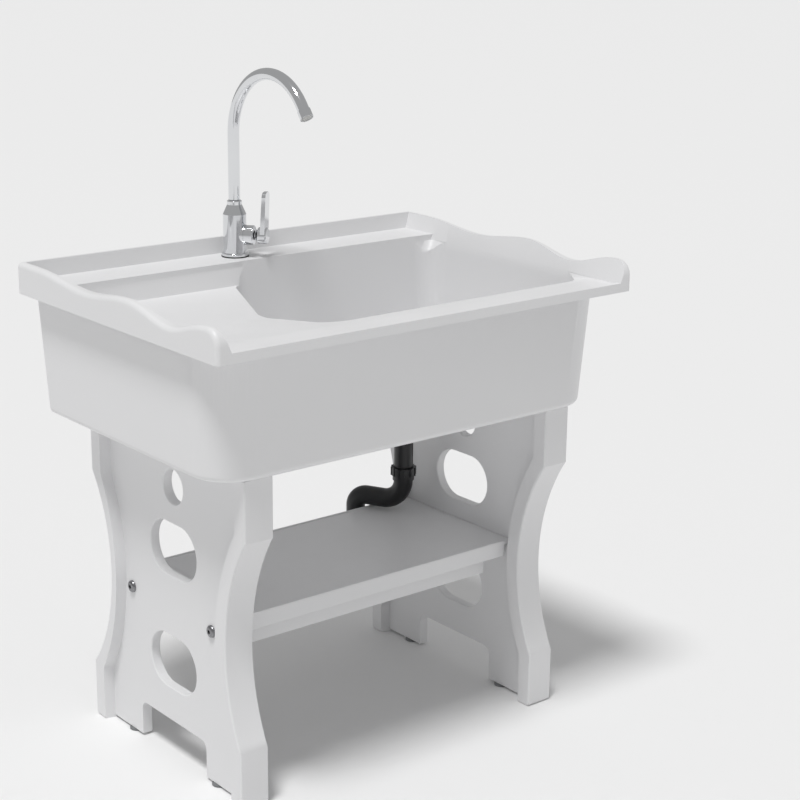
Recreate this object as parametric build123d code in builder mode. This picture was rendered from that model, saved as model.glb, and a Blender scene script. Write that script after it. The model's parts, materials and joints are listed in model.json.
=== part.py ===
from build123d import *
import os
from math import cos, radians, sin, sqrt, tan

os.makedirs("parts", exist_ok=True)

# A utility laundry sink: one moulded basin with wavy splash lips and a washing platform,
# two moulded legs with a shelf between them, a basket strainer with its drain bend, and
# a tall tap with a side lever. Millimetres. X runs along the basin, Y from the front
# edge to the splash back, Z up. The origin is on the floor under the middle of the rim.

# ---------------------------------------------------------------- rim and splash lips
rim_width = 800.0
rim_depth = 568.0
rim_round = 8.0  # outer edges of the rim and of the lips
leg_height = 533.0  # floor to the basin's underside
body_height = 194.0  # underside to the bottom of the rim's skirt
skirt_height = 15.0  # front face of the rim
splash_rise = 35.0  # splash back above the front ledge
deck_rise = 8.0  # tap deck above the front ledge
bead_width = 9.0  # raised bead along the front edge
bead_height = 2.0
lip_top = 10.0  # lip's outer face to the foot of its crest
lip_base = 25.0  # lip's outer face to the bowl
splash_wall = 13.0
splash_slope = 4.0  # how far the splash back's inner face leans
lip_nose = 25.0  # radius at the front end of a lip
front_dip = 18.5
front_dip_y = -158.0
middle_crest_y = -47.0
rear_dip = 11.6
rear_dip_y = 77.0
rear_crest_y = 226.0

# ---------------------------------------------------------------- basin body and bowl
side_overhang = 22.0  # rim beyond the body, at the top of the body
front_overhang = 29.5
back_overhang = 13.0
side_draft = 4.0  # how far each wall comes in towards the underside
front_draft = 17.0
back_draft = 20.0
front_corner = 69.0
back_corner = 14.0
body_edge = 11.0  # rounding of the underside's edge
skirt_wall = 5.0
skirt_groove = 9.0  # depth of the hollow behind the skirt
ledge_width = 50.0
deck_depth = 95.0
mouth_corner = 18.0
platform_mouth_corner = 60.0
dish_depth = 30.0  # washing platform below the ledge
dish_left = 70.0  # width of the slopes that lead down to the platform
dish_front = 195.0
dish_back = 8.0
dish_right = 20.0
dish_corner = 75.0
floor_rise = 15.0  # bowl floor above the underside
bowl_front = 29.0  # bowl wall inside the mouth's edge
bowl_back = -1.7
bowl_right = -1.5
bowl_left_x = -150.0  # platform's edge along the front part of the bowl
bowl_turn_y = -14.0  # where that edge turns towards the splash back
bowl_back_x = -58.0  # where it meets the back wall
bowl_draft = 6.0  # degrees
bowl_corner = 44.0
bowl_floor_round = 14.0
recess_half = 240.0  # half width of the service recess behind the bowl
recess_wall = 10.0  # between the bowl and the recess

# ---------------------------------------------------------------- legs
leg_inner_x = 271.0
leg_thickness = 51.0
web_thickness = 17.0
post_bevel = 4.0  # draft of the step between post and web
web_lift = 4.5  # web's foot above the floor
post_round = 3.0
foot_round = 6.0  # front and back edges of each post's foot
front_top = 230.0  # front edge of the leg: top, waist, foot
front_waist = 173.0
front_foot = 211.0
front_radius = 337.0
front_waist_z = 250.0
front_post = 27.0  # width of the front post
back_top = 209.0  # back edge of the leg
back_waist = 158.5
back_foot = 222.0
back_radius = 283.0
back_waist_z = 277.0
back_post = 28.0  # width of the back post above and below its waist
back_post_waist = 16.0
back_post_radius = 356.0
arch_front = 90.0
arch_back = 100.0
arch_height = 64.0
arch_corner = 14.0
round_hole = 56.0
round_hole_y = -10.0
round_hole_z = 463.0
upper_slot_length = 132.0
upper_slot_height = 88.0
upper_slot_y = -6.0
upper_slot_z = 358.0
lower_slot_length = 132.0
lower_slot_height = 90.0
lower_slot_y = 1.0
lower_slot_z = 166.0
hole_edge = 1.5
tenon_width = 14.0
tenon_inset = 9.0  # tenon inside the outer edge of its post
tenon_height = 9.0
tenon_side = 6.0  # tenon inside each side of its post
seat_clearance = 0.3

# ---------------------------------------------------------------- shelf and crossbars
shelf_front = 139.0
shelf_back = 144.0
shelf_z = 281.0  # upper surface
shelf_plate = 6.0
shelf_lip = 2.0  # raised edge along the front and the back
shelf_skirt = 4.0
shelf_skirt_height = 26.0
shelf_rib = 3.0
shelf_rib_height = 12.0
shelf_rib_count = 5
bevel_clearance = 2.0
bolt_front_y = -112.0
bolt_back_y = 119.0
bolt_z = 259.0
crossbar_width = 18.0
crossbar_height = 49.0
crossbar_half = 240.0  # half length of the deep part
crossbar_end_height = 25.0  # shallower ends that meet the legs
crossbar_wall = 3.5
bolt_shank = 8.0
bolt_length = 45.0
bolt_head = 20.0
bolt_head_height = 5.5
bolt_hex = 6.0
bolt_hex_depth = 3.2
bolt_head_round = 2.5
nut_flats = 13.0
nut_height = 6.5
nut_depth = 12.0  # nut from the end of its crossbar
bore_clearance = 0.2

# ---------------------------------------------------------------- levelling feet
foot_pad = 26.0
foot_hub = 16.0
foot_pad_edge = 2.4
foot_stud = 8.0
foot_stud_length = 28.0
foot_front_y = -115.0
foot_back_y = 132.0
insert_diameter = 12.0
insert_length = 20.0
thread_clearance = 0.05

# ---------------------------------------------------------------- strainer and drain
drain_x = 230.0
drain_y = 84.0
flange_diameter = 84.0
flange_thickness = 3.0
flange_edge = 1.0
strainer_throat = 52.0
strainer_wall = 2.6
strainer_depth = 34.0
strainer_neck = 40.0
neck_length = 18.0
neck_bore = 33.0
grid_width = 3.0
seal_diameter = 76.0
seal_thickness = 3.0
lock_nut_flats = 74.0
lock_nut_height = 11.0
lock_nut_round = 3.5
basket_clearance = 0.6
basket_step = 1.2  # depth of the basket's seat in the flange
basket_wall = 1.2
basket_depth = 20.0
basket_hole = 4.0
basket_rings = ((10.2, 8), (17.2, 14))  # radius and number of holes
basket_rim = 60.0
knob_diameter = 9.0
knob_height = 12.0
knob_neck = 4.5
knob_foot = 2.4
knob_edge = 1.0
pipe_diameter = 34.0
pipe_wall = 2.2
pipe_clearance = 0.2
collar_height = 3.0
union_washer_height = 2.0
pipe_end_z = 347.0  # lower end of the straight tailpiece
union_diameter = 48.0
union_height = 22.0
union_lip = 4.0
nut_ribs = 12
nut_rib_width = 3.0
nut_rib_height = 1.2
slip_nut_diameter = 43.0
slip_nut_height = 15.0
slip_washer_height = 3.0
socket_top = 359.0
socket_wall = 1.9
socket_stop = 344.0
bend_radius = 38.0
arm_z = 302.0
return_radius = 22.0
outlet_x = 188.0
outlet_y = 167.0
outlet_end_z = 222.0
outlet_flange = 3.0
outlet_nut_diameter = 48.0
outlet_nut_height = 24.0
outlet_clearance = 0.3

# ---------------------------------------------------------------- tap
tap_x = -21.0
tap_back = 52.0  # tap's axis in front of the rim's back edge
deck_hole = 35.0
gasket_diameter = 46.0
gasket_thickness = 2.0
base_ring_diameter = 45.0
base_ring_height = 5.0
base_ring_round = 1.7
tap_diameter = 39.5
tap_straight = 65.0
tap_cone = 16.0
collar_diameter = 25.0
collar_length = 7.0
collar_edge = 1.5
boss_length = 10.0
waterway = 10.0
shank_diameter = 32.0
shank_bore = 26.0
shank_length = 46.0
washer_diameter = 54.0
washer_thickness = 3.0
plate_thickness = 1.6
shank_nut_flats = 46.0
shank_nut_height = 12.0
tail_diameter = 10.0
tail_wall = 1.0
tail_spacing = 12.4
tail_seat = 12.0
tail_straight = 57.0  # from the tap's body down to the splay
tail_splay = 15.0  # how far each tail is bent outwards
tail_splay_drop = 22.0
tail_free = 70.0  # straight end below the splay
tail_bend = 20.0
spout_diameter = 19.5
spout_wall = 1.6
stub_diameter = 17.0
stub_length = 24.0
running_clearance = 0.05
riser_top = 205.0  # above the deck
spout_radius = 107.0
spout_turn = 143.0  # degrees
spout_end = 13.0
aerator_diameter = 22.0
aerator_length = 14.0
aerator_wall = 1.5
aerator_seat = 5.0
aerator_recess = 1.5
aerator_pitch = 2.4
aerator_cell = 0.8
insert_grid = 7
ring_section = 1.6
ring_spacing = 9.0

# ---------------------------------------------------------------- lever mechanism
lever_angle = -50.0  # barrel's direction from +X, degrees
barrel_rise = 37.0  # barrel's axis above the deck
barrel_diameter = 32.0
barrel_reach = 18.0
bonnet_diameter = 33.0
bonnet_reach = 33.5
bonnet_hole = 16.0
bonnet_plate = 2.5
bonnet_edge = 1.0
spigot_diameter = 29.0
spigot_length = 6.0
cartridge_diameter = 25.0
cartridge_start = -8.0
spindle_diameter = 19.0
spindle_start = 24.0
stem_room = 4.0
port_diameter = 5.0
port_offset = 5.0
port_depth = 14.0
pivot_reach = 28.0
pin_diameter = 3.0
pin_half = 9.0
stem_tail = 2.2
stem_width = 8.0
slot_length = 13.0
hub_start = 38.0
hub_neck = 19.0
hub_taper = 4.0
hub_diameter = 28.0
hub_end = 57.0
hub_edge = 2.5
blade_top = 111.0  # lever's tip above the deck
blade_width = 27.0
blade_thickness = 6.5
blade_lean = 3.0
blade_foot = 8.0
blade_corner = 9.0
stem_end = 52.0
grub_diameter = 5.0
grub_length = 8.0
grub_reach = 47.5
grub_hex = 2.5

# ---------------------------------------------------------------- levels that follow
basin_bottom = leg_height
rim_bottom = basin_bottom + body_height
ledge_z = rim_bottom + skirt_height
deck_z = ledge_z + deck_rise
splash_top = ledge_z + splash_rise
floor_z = basin_bottom + floor_rise
dish_z = ledge_z - dish_depth
half_width = rim_width / 2
half_depth = rim_depth / 2
tap_y = half_depth - tap_back
mouth_front = -half_depth + ledge_width
mouth_back = half_depth - deck_depth
mouth_side = half_width - lip_base
web_inner_x = leg_inner_x + (leg_thickness - web_thickness) / 2
web_outer_x = web_inner_x + web_thickness
leg_outer_x = leg_inner_x + leg_thickness
shelf_under = shelf_z - shelf_plate
lip_air = 60.0  # how far a cutting tool reaches into open space


def upright(x, y):
    """A vertical plane through (x, y): its first axis runs along X, its second up."""
    return Plane(origin=(x, y, 0), x_dir=(1, 0, 0), z_dir=(0, -1, 0))


def profile(plane, points):
    """A flat face from corner points."""
    with BuildSketch(plane) as face:
        with BuildLine():
            Polyline(*points, close=True)
        make_face()
    return face.sketch


def rounded(plane, points, radii):
    """A flat face from corner points, each with its own radius."""
    with BuildSketch(plane) as face:
        with BuildLine():
            FilletPolyline(*points, radius=radii, close=True)
        make_face()
    return face.sketch


def box_corners(x_low, x_high, y_low, y_high):
    return [(x_low, y_low), (x_high, y_low), (x_high, y_high), (x_low, y_high)]


def disc(plane, diameter, hole=0.0):
    """A round face, with a round hole if one is given."""
    with BuildSketch(plane) as face:
        Circle(diameter / 2)
        if hole > 0:
            Circle(hole / 2, mode=Mode.SUBTRACT)
    return face.sketch


def hexagon(plane, flats, hole=0.0):
    with BuildSketch(plane) as face:
        RegularPolygon(flats / 2, 6, major_radius=False)
        if hole > 0:
            Circle(hole / 2, mode=Mode.SUBTRACT)
    return face.sketch


def level(x, y, z):
    return Plane(origin=(x, y, z), x_dir=(1, 0, 0), z_dir=(0, 0, 1))


# ================================================================ basin
def body_outline(z, inset_side, inset_front, inset_back):
    """The basin body's plan at a height, with round front corners and tight back ones."""
    side = half_width - side_overhang - inset_side
    front = -half_depth + front_overhang + inset_front
    back = half_depth - back_overhang - inset_back
    corners = box_corners(-side, side, front, back)
    radii = [front_corner, front_corner, back_corner, back_corner]
    return rounded(Plane.XY.offset(z), corners, radii)


def bowl_outline(z):
    """The deep bowl's plan: its left side leaves room for the washing platform."""
    front = mouth_front + bowl_front
    back = mouth_back - bowl_back
    right = mouth_side - bowl_right
    corners = [
        (bowl_left_x, front),
        (right, front),
        (right, back),
        (bowl_back_x, back),
        (bowl_left_x, bowl_turn_y),
    ]
    return rounded(Plane.XY.offset(z), corners, [bowl_corner] * 5)


# Everything above the ledge and the deck, between the lips, is open.
with BuildPart() as above_ledge:
    floor_line = [
        (-half_depth - lip_air, ledge_z),
        (-half_depth + bead_width, ledge_z),
        (-half_depth + bead_width + bead_height, ledge_z - bead_height),
        (mouth_back, ledge_z - bead_height),
        (mouth_back, deck_z),
        (half_depth - splash_wall - splash_slope, deck_z),
        (half_depth - splash_wall, splash_top),
        (half_depth - splash_wall, splash_top + lip_air),
        (-half_depth - lip_air, splash_top + lip_air),
    ]
    extrude(profile(Plane.YZ, floor_line), amount=half_width, both=True)
    lip_rise = splash_top - ledge_z
    lip_lean = (lip_base - lip_top) / lip_rise
    base_half = mouth_side - lip_lean * bead_height
    air_half = half_width - lip_top + lip_lean * lip_air
    cross_line = [
        (-base_half, ledge_z - bead_height),
        (base_half, ledge_z - bead_height),
        (air_half, splash_top + lip_air),
        (-air_half, splash_top + lip_air),
    ]
    cross = profile(upright(0, -rim_depth), cross_line)
    extrude(cross, amount=-2 * rim_depth, mode=Mode.INTERSECT)

# The wide opening leads down from the ledge to the washing platform.
with BuildPart() as dish:
    mouth = box_corners(-mouth_side, mouth_side, mouth_front, mouth_back)
    mouth_radii = [platform_mouth_corner, mouth_corner, mouth_corner, mouth_corner]
    low = box_corners(
        -mouth_side + dish_left,
        mouth_side - dish_right,
        mouth_front + dish_front,
        mouth_back - dish_back,
    )
    low_radii = [dish_corner, mouth_corner, mouth_corner, dish_corner]
    mouth_z = ledge_z - bead_height
    mouth_face = rounded(Plane.XY.offset(mouth_z), mouth, mouth_radii)
    low_face = rounded(Plane.XY.offset(dish_z), low, low_radii)
    loft([mouth_face, low_face], ruled=True)
    extrude(mouth_face, amount=deck_rise + 2 * bead_height)

with BuildPart() as bowl:
    bowl_top = deck_z + bead_height
    extrude(bowl_outline(bowl_top), amount=floor_z - bowl_top, taper=bowl_draft)
    fillet(bowl.faces().sort_by(Axis.Z)[0].edges(), radius=bowl_floor_round)

with BuildPart() as moulding:
    skyline = [
        (rear_crest_y, splash_top),
        (rear_dip_y, splash_top - rear_dip),
        (middle_crest_y, splash_top),
        (front_dip_y, splash_top - front_dip),
        (-half_depth + lip_nose, splash_top),
    ]
    with BuildSketch(Plane.YZ.offset(-half_width)):
        with BuildLine():
            Polyline(
                (-half_depth, splash_top - lip_nose),
                (-half_depth, rim_bottom),
                (half_depth, rim_bottom),
                (half_depth, splash_top),
                (rear_crest_y, splash_top),
            )
            Spline(*skyline, tangents=[(-1, 0)] * len(skyline))
            RadiusArc(
                (-half_depth + lip_nose, splash_top),
                (-half_depth, splash_top - lip_nose),
                -lip_nose,
            )
        make_face()
    extrude(amount=rim_width)
    ends = moulding.faces().filter_by(Plane.YZ).sort_by(Axis.X)
    rim_edges = ends[0].edges() + ends[-1].edges()
    rim_edges = rim_edges.filter_by(lambda e: e.bounding_box().max.Z > rim_bottom + 1)
    crest = moulding.edges().filter_by(Axis.X).group_by(Axis.Y)[-1].sort_by(Axis.Z)[-1:]
    fillet(rim_edges + crest, radius=rim_round)
    add(above_ledge.part, mode=Mode.SUBTRACT)
    under = body_outline(basin_bottom, side_draft, front_draft, back_draft)
    loft([body_outline(rim_bottom, 0, 0, 0), under], ruled=True)
    fillet(moulding.faces().sort_by(Axis.Z)[0].edges(), radius=body_edge)
    add(dish.part, mode=Mode.SUBTRACT)
    add(bowl.part, mode=Mode.SUBTRACT)
    # The rim is hollow behind its skirt.
    with BuildSketch(Plane.XY.offset(rim_bottom)):
        Rectangle(rim_width - 2 * skirt_wall, rim_depth - 2 * skirt_wall)
        add(body_outline(0, 0, 0, 0), mode=Mode.SUBTRACT)
    extrude(amount=skirt_groove, mode=Mode.SUBTRACT)
    # The service recess behind the bowl gives room for the tap's tails and nut.
    recess_lean = tan(radians(bowl_draft))
    recess_top = mouth_back - bowl_back + recess_wall
    recess_low = recess_top - recess_lean * body_height
    recess_line = [
        (recess_top, rim_bottom),
        (recess_low, basin_bottom),
        (recess_low, basin_bottom - lip_air),
        (half_depth + lip_air, basin_bottom - lip_air),
        (half_depth + lip_air, rim_bottom),
    ]
    recess = profile(Plane.YZ, recess_line)
    extrude(recess, amount=recess_half, both=True, mode=Mode.SUBTRACT)
    # Tap hole, drain hole and the seat of the drain's flange.
    extrude(disc(level(tap_x, tap_y, deck_z), deck_hole), amount=rim_bottom - deck_z,
            mode=Mode.SUBTRACT)
    extrude(disc(level(drain_x, drain_y, floor_z), flange_diameter + 2 * seat_clearance),
            amount=-flange_thickness, mode=Mode.SUBTRACT)
    extrude(disc(level(drain_x, drain_y, floor_z), strainer_throat + 2 * seat_clearance),
            amount=-2 * floor_rise, mode=Mode.SUBTRACT)
    # Sockets that take the tenons of the four posts.
    for socket_x in (-leg_outer_x, leg_inner_x):
        for socket_y in (-front_top + tenon_inset, back_top - tenon_inset - tenon_width):
            corners = box_corners(
                socket_x + tenon_side - seat_clearance,
                socket_x + leg_thickness - tenon_side + seat_clearance,
                socket_y - seat_clearance,
                socket_y + tenon_width + seat_clearance,
            )
            extrude(profile(Plane.XY.offset(basin_bottom), corners),
                    amount=tenon_height + seat_clearance, mode=Mode.SUBTRACT)

# The moulding is held as two solids that meet level with the underside of the rim.
rim_level = Plane.XY.offset(rim_bottom)
with BuildPart() as basin:
    add(moulding.part)
    split(bisect_by=rim_level, keep=Keep.BOTTOM)

with BuildPart() as basin_rim:
    add(moulding.part)
    split(bisect_by=rim_level, keep=Keep.TOP)


# ================================================================ legs
def leg_outline(x, front, back, low, high):
    """The leg seen from its side, between two edges that curve in to a waist."""
    with BuildSketch(Plane.YZ.offset(x)) as face:
        with BuildLine():
            for side, edge in ((-1, front), (1, back)):
                top, waist, foot, radius, waist_z = edge
                centre = waist + radius
                upper = waist_z + sqrt(radius**2 - (centre - top) ** 2)
                lower = waist_z - sqrt(radius**2 - (centre - foot) ** 2)
                Line((side * top, high), (side * top, upper))
                ThreePointArc(
                    (side * top, upper), (side * waist, waist_z), (side * foot, lower)
                )
                Line((side * foot, lower), (side * foot, low))
            Line((-front[0], high), (back[0], high))
            Line((-front[2], low), (back[2], low))
        make_face()
    return face.sketch


def drawn_in(edge, straight, at_waist, radius):
    """A leg's edge moved inwards by the width of its post."""
    top, waist, foot, old_radius, waist_z = edge
    return (top - straight, waist - at_waist, foot - straight, radius, waist_z)


front_edge = (front_top, front_waist, front_foot, front_radius, front_waist_z)
back_edge = (back_top, back_waist, back_foot, back_radius, back_waist_z)
front_inner = drawn_in(front_edge, front_post, front_post, front_radius + front_post)
back_inner = drawn_in(back_edge, back_post, back_post_waist, back_post_radius)
front_step = drawn_in(front_inner, post_bevel, post_bevel, front_inner[3] + post_bevel)
back_step = drawn_in(back_inner, post_bevel, post_bevel, back_inner[3] + post_bevel)

with BuildPart() as right_leg:
    whole_leg = leg_outline(leg_inner_x, front_edge, back_edge, 0, leg_height)
    extrude(whole_leg, amount=leg_thickness)
    fillet(right_leg.edges().filter_by(Axis.X).group_by(Axis.Z)[0], radius=foot_round)
    fillet(right_leg.faces().filter_by(Plane.YZ).edges(), radius=post_round)
    # Both faces are sunk to the web, with a drafted step along each post.
    beyond = leg_height + lip_air
    for face_x, web_x in ((leg_inner_x, web_inner_x), (leg_outer_x, web_outer_x)):
        at_face = leg_outline(face_x, front_inner, back_inner, -lip_air, beyond)
        at_web = leg_outline(web_x, front_step, back_step, -lip_air, beyond)
        loft([at_face, at_web], ruled=True, mode=Mode.SUBTRACT)
    web_plane = Plane.YZ.offset(leg_inner_x)
    arch = box_corners(-arch_front, arch_back, -lip_air, arch_height)
    arch_radii = [arch_corner] * 4
    extrude(rounded(web_plane, arch, arch_radii), amount=leg_thickness,
            mode=Mode.SUBTRACT)
    sole = box_corners(-front_step[2], back_step[2], -1, web_lift)
    extrude(profile(web_plane, sole), amount=leg_thickness, mode=Mode.SUBTRACT)
    with BuildSketch(web_plane):
        with Locations((round_hole_y, round_hole_z)):
            Circle(round_hole / 2)
        with Locations((upper_slot_y, upper_slot_z)):
            SlotOverall(upper_slot_length, upper_slot_height)
        with Locations((lower_slot_y, lower_slot_z)):
            SlotOverall(lower_slot_length, lower_slot_height)
    extrude(amount=leg_thickness, mode=Mode.SUBTRACT)
    hole_edges = ShapeList()
    for web_face in right_leg.faces().filter_by(Plane.YZ).sort_by(SortBy.AREA)[-2:]:
        for wire in web_face.inner_wires():
            hole_edges += wire.edges()
    chamfer(hole_edges, length=hole_edge)
    with BuildSketch(web_plane):
        with Locations((bolt_front_y, bolt_z), (bolt_back_y, bolt_z)):
            Circle(bolt_shank / 2 + bore_clearance)
    extrude(amount=leg_thickness, mode=Mode.SUBTRACT)
    # Holes for the threaded inserts, with room above them for the feet's studs.
    web_middle = (web_inner_x + web_outer_x) / 2
    stud_room = foot_stud_length + seat_clearance
    for foot_y in (foot_front_y, foot_back_y):
        under_web = level(web_middle, foot_y, web_lift)
        extrude(disc(under_web, insert_diameter), amount=insert_length,
                mode=Mode.SUBTRACT)
        extrude(disc(under_web, foot_stud + 4 * thread_clearance), amount=stud_room,
                mode=Mode.SUBTRACT)
    for tenon_y in (-front_top + tenon_inset, back_top - tenon_inset - tenon_width):
        corners = box_corners(
            leg_inner_x + tenon_side,
            leg_outer_x - tenon_side,
            tenon_y,
            tenon_y + tenon_width,
        )
        extrude(profile(Plane.XY.offset(leg_height), corners), amount=tenon_height)

with BuildPart() as left_leg:
    mirror(right_leg.part, about=Plane.YZ)


# ================================================================ shelf and crossbars
with BuildPart() as shelf:
    shelf_half = leg_inner_x - seat_clearance
    tab_front = max(-shelf_front, bevel_clearance - front_step[1])
    tab_back = min(shelf_back, back_step[1] - bevel_clearance)
    with BuildSketch(Plane.XY.offset(shelf_under)):
        add(profile(Plane.XY, box_corners(-shelf_half, shelf_half, -shelf_front, shelf_back)))
        add(profile(Plane.XY, box_corners(-web_inner_x, web_inner_x, tab_front, tab_back)))
    extrude(amount=shelf_plate)
    skirt_low = shelf_z - shelf_skirt_height
    for strip_front in (-shelf_front, shelf_back - shelf_skirt):
        strip = box_corners(-shelf_half, shelf_half, strip_front, strip_front + shelf_skirt)
        extrude(profile(Plane.XY.offset(skirt_low), strip),
                amount=shelf_skirt_height + shelf_lip)
    rib_front = bolt_front_y + crossbar_width / 2 + bevel_clearance
    rib_back = bolt_back_y - crossbar_width / 2 - bevel_clearance
    rib_spacing = 2 * shelf_half / (shelf_rib_count + 1)
    rib_plane = level(0, (rib_front + rib_back) / 2, shelf_under - shelf_rib_height)
    with BuildSketch(rib_plane):
        with GridLocations(rib_spacing, 1, shelf_rib_count, 1):
            Rectangle(shelf_rib, rib_back - rib_front)
    extrude(amount=shelf_rib_height)

crossbars = {}
for name, bar_y in (("front_crossbar", bolt_front_y), ("back_crossbar", bolt_back_y)):
    with BuildPart() as crossbar:
        bar_low = shelf_under - crossbar_height
        end_low = shelf_under - crossbar_end_height
        with BuildSketch(level(0, bar_y, end_low)):
            Rectangle(2 * web_inner_x, crossbar_width)
        extrude(amount=crossbar_end_height)
        with BuildSketch(level(0, bar_y, bar_low)):
            Rectangle(2 * crossbar_half, crossbar_width)
        extrude(amount=crossbar_height)
        hollow_half = crossbar_half - crossbar_wall
        with BuildSketch(level(0, bar_y, bar_low)):
            Rectangle(2 * hollow_half, crossbar_width - 2 * crossbar_wall)
        extrude(amount=crossbar_height - crossbar_wall, mode=Mode.SUBTRACT)
        for side in (-1, 1):
            end_face = Plane(
                origin=(side * web_inner_x, bar_y, bolt_z),
                x_dir=(0, 1, 0),
                z_dir=(side, 0, 0),
            )
            bolt_room = bolt_length - web_thickness + seat_clearance
            extrude(disc(end_face, bolt_shank + 2 * bore_clearance), amount=-bolt_room,
                    mode=Mode.SUBTRACT)
            nut_x = web_inner_x - nut_depth - nut_height / 2
            slot_high = bolt_z + nut_flats / sqrt(3) + bore_clearance - end_low
            with BuildSketch(level(side * nut_x, bar_y, end_low)):
                Rectangle(nut_height + bore_clearance, nut_flats + bore_clearance)
            extrude(amount=slot_high, mode=Mode.SUBTRACT)
    crossbars[name] = crossbar


def bolt_plane(side, bolt_y, x):
    return Plane(origin=(side * x, bolt_y, bolt_z), x_dir=(0, 1, 0), z_dir=(side, 0, 0))


with BuildPart() as leg_bolts:
    for side in (-1, 1):
        for bolt_y in (bolt_front_y, bolt_back_y):
            seat = bolt_plane(side, bolt_y, web_outer_x)
            head_top = bolt_plane(side, bolt_y, web_outer_x + bolt_head_height)
            extrude(disc(seat, bolt_shank), amount=-bolt_length)
            extrude(disc(seat, bolt_head), amount=bolt_head_height)
            extrude(hexagon(head_top, bolt_hex), amount=-bolt_hex_depth,
                    mode=Mode.SUBTRACT)
    outer_rings = leg_bolts.edges().filter_by(GeomType.CIRCLE)
    outer_rings = outer_rings.filter_by(lambda e: abs(e.radius - bolt_head / 2) < 0.01)
    head_x = web_outer_x + bolt_head_height
    outer_rings = outer_rings.filter_by(lambda e: abs(abs(e.center().X) - head_x) < 0.01)
    fillet(outer_rings, radius=bolt_head_round)

with BuildPart() as crossbar_nuts:
    for side in (-1, 1):
        for bolt_y in (bolt_front_y, bolt_back_y):
            seat = bolt_plane(side, bolt_y, web_inner_x - nut_depth)
            with BuildSketch(seat) as nut_face:
                RegularPolygon(nut_flats / 2, 6, major_radius=False, rotation=30)
                Circle(bolt_shank / 2 + thread_clearance, mode=Mode.SUBTRACT)
            extrude(nut_face.sketch, amount=-nut_height)


# ================================================================ levelling feet
foot_corners = {
    "front_left_foot": (-1, foot_front_y),
    "front_right_foot": (1, foot_front_y),
    "back_left_foot": (-1, foot_back_y),
    "back_right_foot": (1, foot_back_y),
}
levelling_feet = {}
for name, (side, foot_y) in foot_corners.items():
    with BuildPart() as levelling_foot:
        foot_x = side * web_middle
        hub_top = web_lift - seat_clearance
        outline = [
            (0, 0),
            (foot_pad / 2, 0),
            (foot_pad / 2, foot_pad_edge),
            (foot_hub / 2, hub_top),
            (foot_stud / 2, hub_top),
            (foot_stud / 2, hub_top + foot_stud_length),
            (0, hub_top + foot_stud_length),
        ]
        revolve(profile(upright(foot_x, foot_y), outline),
                axis=Axis((foot_x, foot_y, 0), (0, 0, 1)))
    levelling_feet[name] = levelling_foot

with BuildPart() as foot_inserts:
    for side, foot_y in foot_corners.values():
        seat = level(side * web_middle, foot_y, web_lift)
        extrude(disc(seat, insert_diameter, foot_stud + 2 * thread_clearance),
                amount=insert_length)


# ================================================================ strainer
drain_axis = Axis((drain_x, drain_y, 0), (0, 0, 1))
seat_z = floor_z - flange_thickness
throat_low = floor_z - strainer_depth
neck_low = throat_low - neck_length
throat_radius = strainer_throat / 2
throat_inner = throat_radius - strainer_wall

with BuildPart() as strainer_body:
    outline = [
        (flange_diameter / 2, seat_z),
        (flange_diameter / 2, floor_z - flange_edge),
        (flange_diameter / 2 - flange_edge, floor_z),
        (basket_rim / 2 + basket_clearance, floor_z),
        (basket_rim / 2 + basket_clearance, floor_z - basket_step),
        (throat_inner, floor_z - basket_step),
        (throat_inner, throat_low + strainer_wall),
        (neck_bore / 2, throat_low),
        (neck_bore / 2, neck_low),
        (strainer_neck / 2, neck_low),
        (strainer_neck / 2, throat_low - strainer_wall),
        (throat_radius, throat_low + strainer_wall),
        (throat_radius, seat_z),
    ]
    revolve(profile(upright(drain_x, drain_y), outline), axis=drain_axis)
    with BuildSketch(level(drain_x, drain_y, throat_low - strainer_wall)):
        with PolarLocations(0, 4, angular_range=180):
            Rectangle(neck_bore + strainer_wall, grid_width)
    extrude(amount=strainer_wall)

with BuildPart() as strainer_seal:
    seal_plane = level(drain_x, drain_y, basin_bottom)
    extrude(disc(seal_plane, seal_diameter, strainer_throat + 2 * bore_clearance),
            amount=-seal_thickness)

with BuildPart() as lock_nut:
    nut_top = level(drain_x, drain_y, basin_bottom - seal_thickness)
    extrude(hexagon(nut_top, lock_nut_flats, strainer_throat + 2 * thread_clearance),
            amount=-lock_nut_height)
    fillet(lock_nut.edges().filter_by(Axis.Z), radius=lock_nut_round)

with BuildPart() as strainer_basket:
    rim_low = floor_z - basket_step + seat_clearance
    cup_radius = throat_inner - basket_clearance
    cup_low = rim_low - basket_depth
    outline = [
        (0, cup_low),
        (cup_radius, cup_low),
        (cup_radius, rim_low),
        (basket_rim / 2, rim_low),
        (basket_rim / 2, rim_low + basket_wall),
        (cup_radius - basket_wall, rim_low + basket_wall),
        (cup_radius - basket_wall, cup_low + basket_wall),
        (0, cup_low + basket_wall),
    ]
    revolve(profile(upright(drain_x, drain_y), outline), axis=drain_axis)
    with BuildSketch(level(drain_x, drain_y, cup_low)):
        for ring_radius, ring_count in basket_rings:
            with PolarLocations(ring_radius, ring_count):
                Circle(basket_hole / 2)
    extrude(amount=basket_wall, mode=Mode.SUBTRACT)

with BuildPart() as basket_knob:
    knob_low = cup_low + basket_wall
    knob_top = rim_low + basket_wall + knob_height / 2
    neck_top = knob_top - knob_height / 2
    outline = [
        (0, knob_low),
        (knob_diameter / 2, knob_low),
        (knob_diameter / 2, knob_low + knob_foot),
        (knob_neck / 2, knob_low + 2 * knob_foot),
        (knob_neck / 2, neck_top),
        (knob_diameter / 2, neck_top + knob_edge),
        (knob_diameter / 2, knob_top - knob_edge),
        (knob_diameter / 2 - knob_edge, knob_top),
        (0, knob_top),
    ]
    revolve(profile(upright(drain_x, drain_y), outline), axis=drain_axis)


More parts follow.
